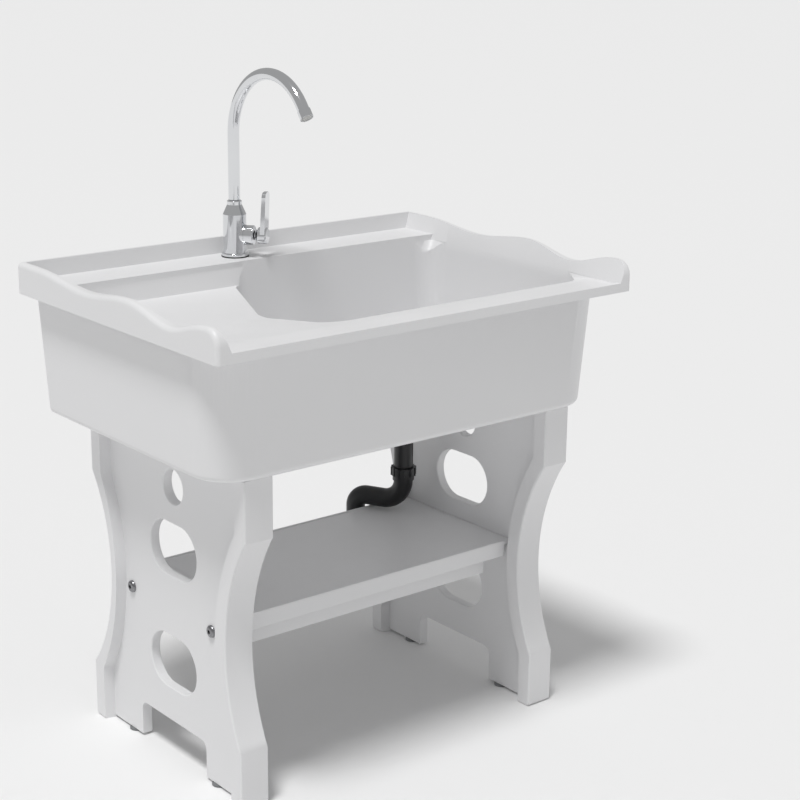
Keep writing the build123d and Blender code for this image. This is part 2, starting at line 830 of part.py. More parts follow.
# ================================================================ drain pipe and bend
pipe_radius = pipe_diameter / 2
pipe_bore = pipe_radius - pipe_wall
collar_radius = strainer_neck / 2 - thread_clearance
collar_top = neck_low - union_washer_height
collar_low = collar_top - collar_height

with BuildPart() as union_washer:
    extrude(disc(level(drain_x, drain_y, collar_top), 2 * collar_radius, neck_bore),
            amount=union_washer_height)

with BuildPart() as drain_tailpiece:
    outline = [
        (pipe_bore, collar_top),
        (collar_radius, collar_top),
        (collar_radius, collar_low),
        (pipe_radius, collar_low),
        (pipe_radius, pipe_end_z),
        (pipe_bore, pipe_end_z),
    ]
    revolve(profile(upright(drain_x, drain_y), outline), axis=drain_axis)


with BuildPart() as union_nut:
    union_low = collar_low - union_lip
    outline = [
        (pipe_radius + pipe_clearance, union_low),
        (union_diameter / 2, union_low),
        (union_diameter / 2, union_low + union_height),
        (strainer_neck / 2 + thread_clearance, union_low + union_height),
        (strainer_neck / 2 + thread_clearance, collar_low),
        (pipe_radius + pipe_clearance, collar_low),
    ]
    revolve(profile(upright(drain_x, drain_y), outline), axis=drain_axis)
    with BuildSketch(level(drain_x, drain_y, union_low)):
        with PolarLocations(union_diameter / 2, nut_ribs):
            Rectangle(2 * nut_rib_height, nut_rib_width)
        Circle(union_diameter / 2 - nut_rib_height, mode=Mode.SUBTRACT)
    extrude(amount=union_height)

arm_run = sqrt((outlet_x - drain_x) ** 2 + (outlet_y - drain_y) ** 2)

with BuildPart() as drain_bend:
    with BuildLine() as bend_path:
        FilletPolyline(
            (drain_x, drain_y, socket_stop),
            (drain_x, drain_y, arm_z),
            (outlet_x, outlet_y, arm_z),
            (outlet_x, outlet_y, outlet_end_z),
            radius=[bend_radius, return_radius],
        )
    sweep(disc(level(drain_x, drain_y, socket_stop), pipe_diameter), path=bend_path.line)
    socket_radius = pipe_radius + pipe_clearance + socket_wall
    extrude(disc(level(drain_x, drain_y, socket_stop - socket_wall), 2 * socket_radius),
            amount=socket_top - socket_stop + socket_wall)
    outlet_collar = level(outlet_x, outlet_y, outlet_end_z)
    extrude(disc(outlet_collar, 2 * collar_radius), amount=outlet_flange)
    sweep(disc(level(drain_x, drain_y, socket_stop), 2 * pipe_bore), path=bend_path.line,
          mode=Mode.SUBTRACT)
    extrude(disc(level(drain_x, drain_y, socket_stop), pipe_diameter + 2 * pipe_clearance),
            amount=socket_top, mode=Mode.SUBTRACT)

with BuildPart() as slip_washer:
    extrude(disc(level(drain_x, drain_y, socket_top), 2 * socket_radius - bore_clearance,
                 pipe_diameter + pipe_clearance / 2), amount=slip_washer_height)

with BuildPart() as slip_nut:
    lip_low = socket_top + slip_washer_height
    slip_top = lip_low + union_lip
    slip_low = slip_top - slip_nut_height
    outline = [
        (socket_radius + thread_clearance, slip_low),
        (slip_nut_diameter / 2, slip_low),
        (slip_nut_diameter / 2, slip_top),
        (pipe_radius + pipe_clearance, slip_top),
        (pipe_radius + pipe_clearance, lip_low),
        (socket_radius + thread_clearance, lip_low),
    ]
    revolve(profile(upright(drain_x, drain_y), outline), axis=drain_axis)
    with BuildSketch(level(drain_x, drain_y, slip_low)):
        with PolarLocations(slip_nut_diameter / 2, nut_ribs):
            Rectangle(2 * nut_rib_height, nut_rib_width)
        Circle(slip_nut_diameter / 2 - nut_rib_height, mode=Mode.SUBTRACT)
    extrude(amount=slip_nut_height)

outlet_axis = Axis((outlet_x, outlet_y, 0), (0, 0, 1))
with BuildPart() as outlet_seal:
    extrude(disc(outlet_collar, 2 * collar_radius, 2 * pipe_bore), amount=-seal_thickness)

with BuildPart() as outlet_nut:
    lip_low = outlet_end_z + outlet_flange
    outlet_top = lip_low + union_lip
    outlet_low = outlet_top - outlet_nut_height
    outlet_thread = collar_radius + outlet_clearance
    outline = [
        (outlet_thread, outlet_low),
        (outlet_nut_diameter / 2, outlet_low),
        (outlet_nut_diameter / 2, outlet_top),
        (pipe_radius + pipe_clearance, outlet_top),
        (pipe_radius + pipe_clearance, lip_low),
        (outlet_thread + outlet_clearance, lip_low),
        (outlet_thread + outlet_clearance, outlet_end_z - seal_thickness),
        (outlet_thread, outlet_end_z - seal_thickness),
    ]
    revolve(profile(upright(outlet_x, outlet_y), outline), axis=outlet_axis)
    with BuildSketch(level(outlet_x, outlet_y, outlet_low)):
        with PolarLocations(outlet_nut_diameter / 2, nut_ribs):
            Rectangle(2 * nut_rib_height, nut_rib_width)
        Circle(outlet_nut_diameter / 2 - nut_rib_height, mode=Mode.SUBTRACT)
    extrude(amount=outlet_nut_height)


# ================================================================ tap body and fixings
tap_axis = Axis((tap_x, tap_y, 0), (0, 0, 1))
ring_low = deck_z + gasket_thickness
body_low = ring_low + base_ring_height
cone_low = body_low + tap_straight
cone_top = cone_low + tap_cone
collar_top_z = cone_top + collar_length
lever_z = deck_z + barrel_rise
barrel_x = cos(radians(lever_angle))
barrel_y = sin(radians(lever_angle))
shank_hole = shank_diameter + 2 * bore_clearance


def barrel_plane(reach):
    """A plane across the lever's barrel: first axis up, third axis outwards."""
    origin = (tap_x + reach * barrel_x, tap_y + reach * barrel_y, lever_z)
    return Plane(origin=origin, x_dir=(0, 0, 1), z_dir=(barrel_x, barrel_y, 0))


with BuildPart() as deck_gasket:
    extrude(disc(level(tap_x, tap_y, deck_z), gasket_diameter, shank_hole),
            amount=gasket_thickness)

with BuildPart() as base_ring:
    extrude(disc(level(tap_x, tap_y, ring_low), base_ring_diameter, shank_hole),
            amount=base_ring_height)
    fillet(base_ring.edges().group_by(Axis.Z)[-1].sort_by(SortBy.LENGTH)[-1:],
           radius=base_ring_round)

with BuildPart() as tap_body:
    outline = [
        (0, body_low),
        (tap_diameter / 2, body_low),
        (tap_diameter / 2, cone_low),
        (collar_diameter / 2, cone_top),
        (0, cone_top),
    ]
    revolve(profile(upright(tap_x, tap_y), outline), axis=tap_axis)
    extrude(disc(level(tap_x, tap_y, body_low), shank_bore), amount=-boss_length)
    extrude(disc(barrel_plane(0), barrel_diameter), amount=barrel_reach)
    # Pocket of the cartridge, thread of the bonnet, bore of the spout and waterways.
    pocket = cartridge_diameter + 2 * bore_clearance
    spigot_bore = spigot_diameter + 2 * thread_clearance
    extrude(disc(barrel_plane(cartridge_start), pocket),
            amount=barrel_reach - cartridge_start, mode=Mode.SUBTRACT)
    extrude(disc(barrel_plane(barrel_reach), spigot_bore), amount=-spigot_length,
            mode=Mode.SUBTRACT)
    extrude(disc(barrel_plane(barrel_reach), bonnet_diameter + 2 * bore_clearance),
            amount=tap_diameter, mode=Mode.SUBTRACT)
    spout_bore = stub_diameter + 2 * running_clearance
    stub_low = collar_top_z - stub_length
    extrude(disc(level(tap_x, tap_y, cone_top), spout_bore),
            amount=stub_low - seat_clearance - cone_top, mode=Mode.SUBTRACT)
    extrude(disc(level(tap_x, tap_y, stub_low), waterway), amount=lever_z - stub_low,
            mode=Mode.SUBTRACT)
    for side in (-1, 1):
        tail_x = tap_x + side * tail_spacing / 2
        boss_low = level(tail_x, tap_y, body_low - boss_length)
        extrude(disc(boss_low, tail_diameter + 2 * thread_clearance),
                amount=boss_length + tail_seat, mode=Mode.SUBTRACT)
        extrude(disc(boss_low, tail_diameter - 2 * tail_wall),
                amount=lever_z - body_low + boss_length, mode=Mode.SUBTRACT)

with BuildPart() as mounting_shank:
    extrude(disc(level(tap_x, tap_y, body_low), shank_diameter,
                 shank_bore + 2 * thread_clearance), amount=-shank_length)

with BuildPart() as rubber_washer:
    extrude(disc(level(tap_x, tap_y, rim_bottom), washer_diameter, shank_hole),
            amount=-washer_thickness)

with BuildPart() as steel_washer:
    plate_top = rim_bottom - washer_thickness
    extrude(disc(level(tap_x, tap_y, plate_top), washer_diameter, shank_hole),
            amount=-plate_thickness)

with BuildPart() as shank_nut:
    shank_nut_top = plate_top - plate_thickness
    extrude(hexagon(level(tap_x, tap_y, shank_nut_top), shank_nut_flats,
                    shank_diameter + 2 * thread_clearance), amount=-shank_nut_height)

tails = {}
for name, side in (("hot_tail", -1), ("cold_tail", 1)):
    tail_x = tap_x + side * tail_spacing / 2
    splayed_x = tail_x + side * tail_splay
    tail_top = level(tail_x, tap_y, body_low + tail_seat)
    splay_top = body_low - tail_straight
    splay_low = splay_top - tail_splay_drop
    with BuildPart() as tail:
        with BuildLine() as tail_path:
            FilletPolyline(
                tail_top.origin,
                (tail_x, tap_y, splay_top),
                (splayed_x, tap_y, splay_low),
                (splayed_x, tap_y, splay_low - tail_free),
                radius=tail_bend,
            )
        sweep(disc(tail_top, tail_diameter, tail_diameter - 2 * tail_wall),
              path=tail_path.line)
    tails[name] = tail


# ================================================================ spout
bend_start = deck_z + riser_top
turn = radians(spout_turn)
bend_end_y = tap_y - spout_radius + spout_radius * cos(turn)
bend_end_z = bend_start + spout_radius * sin(turn)
out_y = -sin(turn)
out_z = cos(turn)


def outlet_plane(reach):
    """A plane across the spout's straight end, at a distance past its bend."""
    origin = (tap_x, bend_end_y + reach * out_y, bend_end_z + reach * out_z)
    return Plane(origin=origin, x_dir=(1, 0, 0), z_dir=(0, out_y, out_z))


with BuildPart() as spout:
    spout_low = collar_top_z + seat_clearance
    with BuildLine() as spout_path:
        riser = Line((tap_x, tap_y, spout_low), (tap_x, tap_y, bend_start))
        half = turn / 2
        bend = ThreePointArc(
            riser @ 1,
            (
                tap_x,
                tap_y - spout_radius + spout_radius * cos(half),
                bend_start + spout_radius * sin(half),
            ),
            (tap_x, bend_end_y, bend_end_z),
        )
        Line(bend @ 1, outlet_plane(spout_end).origin)
    sweep(disc(level(tap_x, tap_y, spout_low), spout_diameter), path=spout_path.line)
    sweep(disc(level(tap_x, tap_y, spout_low), spout_diameter - 2 * spout_wall),
          path=spout_path.line, mode=Mode.SUBTRACT)
    extrude(disc(level(tap_x, tap_y, spout_low), spout_diameter), amount=spout_wall)
    extrude(disc(level(tap_x, tap_y, stub_low), stub_diameter),
            amount=spout_low - stub_low)
    extrude(disc(level(tap_x, tap_y, stub_low), waterway),
            amount=spout_low - stub_low + spout_wall, mode=Mode.SUBTRACT)
    for ring_index in (1, 2):
        groove_low = level(tap_x, tap_y, stub_low + ring_index * ring_spacing / 2)
        extrude(disc(groove_low, stub_diameter, stub_diameter - 2 * ring_section),
                amount=ring_section + seat_clearance, mode=Mode.SUBTRACT)

with BuildPart() as spout_rings:
    for ring_index in (1, 2):
        ring_z = stub_low + ring_index * ring_spacing / 2 + ring_section / 2
        with Locations((tap_x, tap_y, ring_z)):
            Torus(stub_diameter / 2 - ring_section / 2, ring_section / 2)

with BuildPart() as spout_collar:
    outline = [
        (stub_diameter / 2 + running_clearance, cone_top),
        (collar_diameter / 2, cone_top),
        (collar_diameter / 2, collar_top_z - collar_edge),
        (collar_diameter / 2 - collar_edge, collar_top_z),
        (stub_diameter / 2 + running_clearance, collar_top_z),
    ]
    revolve(profile(upright(tap_x, tap_y), outline), axis=tap_axis)

with BuildPart() as aerator_housing:
    housing_start = spout_end - aerator_seat
    extrude(disc(outlet_plane(housing_start), aerator_diameter), amount=aerator_length)
    insert_bore = aerator_diameter - 2 * aerator_wall
    extrude(disc(outlet_plane(housing_start), spout_diameter + 2 * thread_clearance),
            amount=aerator_seat, mode=Mode.SUBTRACT)
    extrude(disc(outlet_plane(spout_end), insert_bore), amount=aerator_length,
            mode=Mode.SUBTRACT)

with BuildPart() as aerator_insert:
    extrude(disc(outlet_plane(spout_end), insert_bore),
            amount=aerator_length - aerator_seat - aerator_recess)
    with BuildSketch(outlet_plane(spout_end)):
        with HexLocations(aerator_pitch / 2, insert_grid, insert_grid):
            RegularPolygon(aerator_cell, 6)
        Circle(insert_bore / 2 - aerator_wall, mode=Mode.INTERSECT)
    extrude(amount=aerator_length, mode=Mode.SUBTRACT)


# ================================================================ lever mechanism
with BuildPart() as cartridge:
    extrude(disc(barrel_plane(cartridge_start), cartridge_diameter),
            amount=bonnet_reach - bonnet_plate - cartridge_start)
    spindle_bore = spindle_diameter + 2 * running_clearance
    extrude(disc(barrel_plane(spindle_start), spindle_bore), amount=bonnet_reach,
            mode=Mode.SUBTRACT)
    extrude(disc(barrel_plane(spindle_start), slot_length), amount=-stem_room,
            mode=Mode.SUBTRACT)
    # Ports at the back that meet the tails and the spout's waterway.
    for port_x, port_y in ((-1, -1), (-1, 1), (1, 0)):
        port_plane = barrel_plane(cartridge_start)
        with BuildSketch(port_plane):
            with Locations((port_x * port_offset, port_y * port_offset)):
                Circle(port_diameter / 2)
        extrude(amount=port_depth, mode=Mode.SUBTRACT)

with BuildPart() as cartridge_spindle:
    spindle_end = bonnet_reach - bonnet_plate - seat_clearance
    with BuildSketch(barrel_plane(spindle_start + seat_clearance)):
        Circle(spindle_diameter / 2)
        Rectangle(slot_length, stem_width + 2 * seat_clearance, mode=Mode.SUBTRACT)
    extrude(amount=spindle_end - spindle_start - seat_clearance)
    pin_plane = Plane(
        origin=barrel_plane(pivot_reach).origin,
        x_dir=(0, 0, 1),
        z_dir=(barrel_y, -barrel_x, 0),
    )
    extrude(disc(pin_plane, pin_diameter), amount=spindle_diameter, both=True,
            mode=Mode.SUBTRACT)

with BuildPart() as pivot_pin:
    extrude(disc(pin_plane, pin_diameter), amount=pin_half, both=True)

with BuildPart() as bonnet:
    extrude(disc(barrel_plane(barrel_reach), bonnet_diameter),
            amount=bonnet_reach - barrel_reach)
    fillet(bonnet.edges(), radius=bonnet_edge)
    extrude(disc(barrel_plane(barrel_reach), spigot_diameter), amount=-spigot_length)
    extrude(disc(barrel_plane(barrel_reach - spigot_length), pocket),
            amount=bonnet_reach - bonnet_plate - barrel_reach + spigot_length,
            mode=Mode.SUBTRACT)
    extrude(disc(barrel_plane(barrel_reach), bonnet_hole), amount=bonnet_reach,
            mode=Mode.SUBTRACT)

with BuildPart() as lever_stem:
    stem_start = pivot_reach - stem_tail
    extrude(disc(barrel_plane(stem_start), stem_width), amount=stem_end - stem_start)
    extrude(disc(pin_plane, pin_diameter + 2 * running_clearance), amount=stem_width,
            both=True, mode=Mode.SUBTRACT)

with BuildPart() as lever:
    side_plane = Plane(
        origin=(tap_x, tap_y, lever_z),
        x_dir=(barrel_x, barrel_y, 0),
        z_dir=(barrel_y, -barrel_x, 0),
    )
    hub_line = [
        (hub_start, 0),
        (hub_start, hub_neck / 2),
        (hub_start + hub_taper, hub_diameter / 2),
        (hub_end, hub_diameter / 2),
        (hub_end, 0),
    ]
    barrel_axis = Axis((tap_x, tap_y, lever_z), (barrel_x, barrel_y, 0))
    revolve(profile(side_plane, hub_line), axis=barrel_axis)
    fillet(lever.edges().sort_by(Axis(barrel_axis.position, barrel_axis.direction))[-1:],
           radius=hub_edge)
    tip = blade_top - barrel_rise
    blade_line = [
        (hub_end - hub_edge - blade_foot, 0),
        (hub_end - hub_edge, 0),
        (hub_end - hub_edge + blade_lean, tip),
        (hub_end - hub_edge + blade_lean - blade_thickness, tip),
    ]
    extrude(profile(side_plane, blade_line), amount=blade_width / 2, both=True)
    tip_edges = lever.edges().filter_by(lambda e: e.center().Z > lever_z + tip - 1)
    across = tip_edges.filter_by(lambda e: e.length < blade_thickness + 1)
    fillet(across, radius=blade_corner)
    extrude(disc(barrel_plane(hub_start), stem_width + 2 * thread_clearance),
            amount=stem_end - hub_start + seat_clearance, mode=Mode.SUBTRACT)
    grub_plane = Plane(
        origin=barrel_plane(grub_reach).origin, x_dir=(barrel_x, barrel_y, 0),
        z_dir=(0, 0, -1),
    )
    extrude(disc(grub_plane, grub_diameter + 2 * thread_clearance), amount=hub_diameter,
            mode=Mode.SUBTRACT)

with BuildPart() as lever_screw:
    grub_start = stem_width / 2 + thread_clearance
    grub_low = grub_plane.offset(grub_start)
    extrude(disc(grub_low, grub_diameter), amount=grub_length)
    extrude(hexagon(grub_low.offset(grub_length), grub_hex), amount=-grub_hex,
            mode=Mode.SUBTRACT)


# ================================================================ the pieces
pieces = {
    "basin": basin,
    "basin_rim": basin_rim,
    "left_leg": left_leg,
    "right_leg": right_leg,
    "shelf": shelf,
    **crossbars,
    "leg_bolts": leg_bolts,
    "crossbar_nuts": crossbar_nuts,
    **levelling_feet,
    "foot_inserts": foot_inserts,
    "strainer_body": strainer_body,
    "strainer_seal": strainer_seal,
    "strainer_lock_nut": lock_nut,
    "strainer_basket": strainer_basket,
    "basket_knob": basket_knob,
    "union_washer": union_washer,
    "union_nut": union_nut,
    "drain_tailpiece": drain_tailpiece,
    "slip_nut": slip_nut,
    "slip_washer": slip_washer,
    "drain_bend": drain_bend,
    "outlet_seal": outlet_seal,
    "outlet_nut": outlet_nut,
    "deck_gasket": deck_gasket,
    "base_ring": base_ring,
    "tap_body": tap_body,
    "mounting_shank": mounting_shank,
    "rubber_washer": rubber_washer,
    "steel_washer": steel_washer,
    "shank_nut": shank_nut,
    **tails,
    "spout": spout,
    "spout_rings": spout_rings,
    "spout_collar": spout_collar,
    "aerator_housing": aerator_housing,
    "aerator_insert": aerator_insert,
    "cartridge": cartridge,
    "cartridge_spindle": cartridge_spindle,
    "pivot_pin": pivot_pin,
    "bonnet": bonnet,
    "lever_stem": lever_stem,
    "lever": lever,
    "lever_screw": lever_screw,
}
for name, piece in pieces.items():
    piece.part.label = name
    export_step(piece.part, f"parts/{name}.step")
print(len(pieces), "pieces")
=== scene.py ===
import json
from math import cos, pi, radians, sin

import bmesh
import bpy
from mathutils import Matrix, Vector


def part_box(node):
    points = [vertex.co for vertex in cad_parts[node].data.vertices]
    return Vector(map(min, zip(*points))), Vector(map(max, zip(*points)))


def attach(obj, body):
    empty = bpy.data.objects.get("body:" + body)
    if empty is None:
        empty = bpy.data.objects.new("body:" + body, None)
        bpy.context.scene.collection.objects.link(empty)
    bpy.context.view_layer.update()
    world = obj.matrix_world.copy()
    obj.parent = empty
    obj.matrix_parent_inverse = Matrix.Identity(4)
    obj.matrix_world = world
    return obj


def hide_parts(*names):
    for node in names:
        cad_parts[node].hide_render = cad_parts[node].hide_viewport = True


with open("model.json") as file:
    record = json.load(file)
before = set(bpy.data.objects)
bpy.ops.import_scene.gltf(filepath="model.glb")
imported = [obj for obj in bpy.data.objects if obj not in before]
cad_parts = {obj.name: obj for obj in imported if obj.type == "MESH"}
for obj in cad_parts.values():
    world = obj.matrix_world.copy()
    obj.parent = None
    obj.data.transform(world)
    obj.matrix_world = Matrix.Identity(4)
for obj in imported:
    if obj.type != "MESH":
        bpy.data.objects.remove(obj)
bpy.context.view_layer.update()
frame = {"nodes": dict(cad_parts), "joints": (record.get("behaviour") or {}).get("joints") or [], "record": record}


scene = bpy.context.scene
nodes = frame["nodes"]

# The camera stands left of the sink's front edge, a little above the rim.
view = {
    "place": (-1.67573, -2.23215, 1.34852),
    "yaw": 39.307,  # degrees from +Y towards +X
    "pitch": 16.013,  # degrees down
    "roll": 0.648,
    "lens": 80.2,
    "sensor": 36.0,
}


def makeCamera(view):
    camera = bpy.data.objects.new("sinkCamera", bpy.data.cameras.new("sinkCamera"))
    camera.data.lens = view["lens"]
    camera.data.sensor_width = view["sensor"]
    camera.data.clip_end = 60
    turn = (
        Matrix.Rotation(radians(-view["yaw"]), 4, "Z")
        @ Matrix.Rotation(radians(90 - view["pitch"]), 4, "X")
        @ Matrix.Rotation(radians(view["roll"]), 4, "Z")
    )
    camera.matrix_world = Matrix.Translation(view["place"]) @ turn
    scene.collection.objects.link(camera)
    scene.camera = camera


makeCamera(view)
print("camera ready")


def addNode(tree, kind, place=(0, 0), **settings):
    node = tree.nodes.new(kind)
    node.location = place
    for name, value in settings.items():
        setattr(node, name, value)
    return node


def plug(tree, source, target):
    tree.links.new(source, target)


# A group's named sockets: numbers in, then what it puts out.
def startGroup(name, kind, inputs, outputs):
    group = bpy.data.node_groups.new(name, kind)
    if kind == "GeometryNodeTree":  # a modifier gives its mesh to the first input only
        group.interface.new_socket("Geometry", in_out="INPUT", socket_type="NodeSocketGeometry")
    for label, value in inputs.items():
        socketType = "NodeSocketVector" if isinstance(value, tuple) else "NodeSocketFloat"
        socket = group.interface.new_socket(label, in_out="INPUT", socket_type=socketType)
        socket.default_value = value
    for label, socketType in outputs.items():
        group.interface.new_socket(label, in_out="OUTPUT", socket_type=socketType)
    start = addNode(group, "NodeGroupInput", (-900, 0))
    return group, start, addNode(group, "NodeGroupOutput", (500, 0))


# Fine moulded grain as a height, with a slow mask and a roughness that drifts with it.
def makeFineGrain():
    group, start, end = startGroup(
        "fineGrain", "ShaderNodeTree",
        {"Fine Scale": 900.0, "Broad Scale": 5.0, "Low": 0.4, "High": 0.5},
        {"Height": "NodeSocketFloat", "Mask": "NodeSocketFloat", "Roughness": "NodeSocketFloat"},
    )
    place = addNode(group, "ShaderNodeTexCoord", (-900, 300))
    fine = addNode(group, "ShaderNodeTexNoise", (-400, 250))
    fine.inputs["Detail"].default_value = 2
    broad = addNode(group, "ShaderNodeTexNoise", (-400, -100))
    broad.inputs["Detail"].default_value = 4
    spread = addNode(group, "ShaderNodeMapRange", (100, -100))
    spread.inputs["From Min"].default_value = 0.35
    spread.inputs["From Max"].default_value = 0.65
    for noise, label in ((fine, "Fine Scale"), (broad, "Broad Scale")):
        plug(group, place.outputs["Object"], noise.inputs["Vector"])
        plug(group, start.outputs[label], noise.inputs["Scale"])
    plug(group, broad.outputs["Fac"], spread.inputs["Value"])
    plug(group, start.outputs["Low"], spread.inputs["To Min"])
    plug(group, start.outputs["High"], spread.inputs["To Max"])
    plug(group, fine.outputs["Fac"], end.inputs["Height"])
    plug(group, broad.outputs["Fac"], end.inputs["Mask"])
    plug(group, spread.outputs["Result"], end.inputs["Roughness"])
    return group


# Lines left by turning, drawing or brushing: noise stretched along the piece.
def makeToolLines():
    group, start, end = startGroup(
        "toolLines", "ShaderNodeTree",
        {"Stretch": (1.0, 1.0, 1.0), "Scale": 400.0},
        {"Height": "NodeSocketFloat"},
    )
    place = addNode(group, "ShaderNodeTexCoord", (-900, 300))
    stretched = addNode(group, "ShaderNodeVectorMath", (-500, 200), operation="MULTIPLY")
    lines = addNode(group, "ShaderNodeTexNoise", (-100, 100))
    lines.inputs["Detail"].default_value = 3
    plug(group, place.outputs["Object"], stretched.inputs[0])
    plug(group, start.outputs["Stretch"], stretched.inputs[1])
    plug(group, stretched.outputs["Vector"], lines.inputs["Vector"])
    plug(group, start.outputs["Scale"], lines.inputs["Scale"])
    plug(group, lines.outputs["Fac"], end.inputs["Height"])
    return group


# A thin grey film on faces that look up, thicker in slow patches.
def makeSettledDust():
    group, start, end = startGroup(
        "settledDust", "ShaderNodeTree",
        {"Amount": 0.1, "Patch Scale": 9.0},
        {"Mask": "NodeSocketFloat"},
    )
    place = addNode(group, "ShaderNodeTexCoord", (-900, 300))
    split = addNode(group, "ShaderNodeSeparateXYZ", (-600, 400))
    upward = addNode(group, "ShaderNodeMapRange", (-300, 400))
    upward.inputs["From Min"].default_value = 0.2
    patches = addNode(group, "ShaderNodeTexNoise", (-600, 100))
    patches.inputs["Detail"].default_value = 5
    spread = addNode(group, "ShaderNodeMapRange", (-300, 100))
    spread.inputs["From Min"].default_value = 0.35
    spread.inputs["From Max"].default_value = 0.7
    both = addNode(group, "ShaderNodeMath", (0, 250), operation="MULTIPLY")
    film = addNode(group, "ShaderNodeMath", (250, 200), operation="MULTIPLY")
    plug(group, place.outputs["Normal"], split.inputs["Vector"])
    plug(group, split.outputs["Z"], upward.inputs["Value"])
    plug(group, place.outputs["Object"], patches.inputs["Vector"])
    plug(group, start.outputs["Patch Scale"], patches.inputs["Scale"])
    plug(group, patches.outputs["Fac"], spread.inputs["Value"])
    plug(group, upward.outputs["Result"], both.inputs[0])
    plug(group, spread.outputs["Result"], both.inputs[1])
    plug(group, both.outputs["Value"], film.inputs[0])
    plug(group, start.outputs["Amount"], film.inputs[1])
    plug(group, film.outputs["Value"], end.inputs["Mask"])
    return group


fineGrain = makeFineGrain()
toolLines = makeToolLines()
settledDust = makeSettledDust()

# What all finishes share, unless a row of its own says otherwise.
surface = {
    "ior": 1.48,
    "dustTint": (0.42, 0.41, 0.39),
    "dust": 0.04,
    "grainDepth": 0.0003,  # metres
}


# A finish from one row: two tints, a roughness range, grain or tool lines, and dust.
def makeFinish(name, look):
    finish = bpy.data.materials.new(name)
    finish.use_nodes = True
    tree = finish.node_tree
    shader = tree.nodes["Principled BSDF"]
    shader.inputs["Metallic"].default_value = look.get("metal", 0.0)
    shader.inputs["IOR"].default_value = surface["ior"]
    grain = addNode(tree, "ShaderNodeGroup", (-1000, 100), node_tree=fineGrain)
    grain.inputs["Fine Scale"].default_value = look["grainScale"]
    grain.inputs["Broad Scale"].default_value = look["broadScale"]
    grain.inputs["Low"].default_value, grain.inputs["High"].default_value = look["rough"]
    tint = addNode(tree, "ShaderNodeMix", (-700, 250), data_type="RGBA")
    tint.inputs[6].default_value = (*look["dark"], 1)
    tint.inputs[7].default_value = (*look["light"], 1)
    dust = addNode(tree, "ShaderNodeGroup", (-1000, 450), node_tree=settledDust)
    dust.inputs["Amount"].default_value = look.get("dust", surface["dust"])
    dusty = addNode(tree, "ShaderNodeMix", (-400, 250), data_type="RGBA")
    dusty.inputs[7].default_value = (*surface["dustTint"], 1)
    bump = addNode(tree, "ShaderNodeBump", (-400, -200))
    bump.inputs["Strength"].default_value = look["grain"]
    bump.inputs["Distance"].default_value = look.get("grainDepth", surface["grainDepth"])
    height = grain.outputs["Height"]
    if "lines" in look:
        lines = addNode(tree, "ShaderNodeGroup", (-1000, -300), node_tree=toolLines)
        lines.inputs["Stretch"].default_value = look["lines"]
        height = lines.outputs["Height"]
    plug(tree, grain.outputs["Mask"], tint.inputs[0])
    plug(tree, tint.outputs[2], dusty.inputs[6])
    plug(tree, dust.outputs["Mask"], dusty.inputs[0])
    plug(tree, dusty.outputs[2], shader.inputs["Base Color"])
    plug(tree, grain.outputs["Roughness"], shader.inputs["Roughness"])
    plug(tree, height, bump.inputs["Height"])
    plug(tree, bump.outputs["Normal"], shader.inputs["Normal"])
    return finish


finishLooks = {
    "whiteResin": {
        "dark": (0.775, 0.775, 0.785), "light": (0.81, 0.81, 0.815), "rough": (0.34, 0.44),
        "grainScale": 700, "broadScale": 4, "grain": 0.10, "grainDepth": 0.0002,
        "dust": 0.05,
    },
    "blackPipe": {
        "dark": (0.006, 0.006, 0.007), "light": (0.012, 0.012, 0.014), "rough": (0.28, 0.42),
        "grainScale": 900, "broadScale": 12, "grain": 0.1, "dust": 0.03,
    },
    "blackRubber": {
        "dark": (0.012, 0.012, 0.012), "light": (0.02, 0.02, 0.02), "rough": (0.65, 0.8),
        "grainScale": 1200, "broadScale": 20, "grain": 0.25,
    },
    "greyPlastic": {
        "dark": (0.16, 0.165, 0.17), "light": (0.20, 0.205, 0.21), "rough": (0.4, 0.55),
        "grainScale": 900, "broadScale": 15, "grain": 0.15,
    },
    "chromePlate": {
        "dark": (0.74, 0.75, 0.77), "light": (0.80, 0.81, 0.82), "rough": (0.04, 0.10),
        "metal": 1.0,
        "grainScale": 300, "broadScale": 25, "grain": 0.01, "dust": 0.0,
    },
    "brushedSteel": {
        "dark": (0.24, 0.24, 0.25), "light": (0.32, 0.32, 0.33), "rough": (0.24, 0.38),
        "metal": 1.0,
        "grainScale": 1500, "broadScale": 30, "grain": 0.12, "lines": (0.1, 1.0, 3.0), "dust": 0.0,
    },
    "turnedBrass": {
        "dark": (0.55, 0.38, 0.14), "light": (0.66, 0.48, 0.20), "rough": (0.25, 0.4),
        "metal": 1.0,
        "grainScale": 1500, "broadScale": 40, "grain": 0.1, "lines": (0.2, 0.2, 6.0), "dust": 0.0,
    },
    "drawnCopper": {
        "dark": (0.55, 0.24, 0.13), "light": (0.68, 0.32, 0.18), "rough": (0.22, 0.38),
        "metal": 1.0,
        "grainScale": 900, "broadScale": 60, "grain": 0.08, "lines": (5.0, 5.0, 0.1), "dust": 0.0,
    },
    "whitePlastic": {
        "dark": (0.66, 0.66, 0.64), "light": (0.72, 0.72, 0.70), "rough": (0.35, 0.5),
        "grainScale": 900, "broadScale": 60, "grain": 0.1,
    },
}
finishes = {name: makeFinish(name, look) for name, look in finishLooks.items()}
finishOfSlot = {
    "white_moulding": "whiteResin",
    "steel": "brushedSteel",
    "grey_plastic": "greyPlastic",
    "brass": "turnedBrass",
    "black_plastic": "blackPipe",
    "black_rubber": "blackRubber",
    "chrome": "chromePlate",
    "copper": "drawnCopper",
    "white_plastic": "whitePlastic",
}
for subpart in frame["record"]["subparts"]:
    cadMesh = nodes[subpart["node"]].data
    cadMesh.materials.clear()
    cadMesh.materials.append(finishes[finishOfSlot[subpart["material_slot"]]])
print("finishes ready")


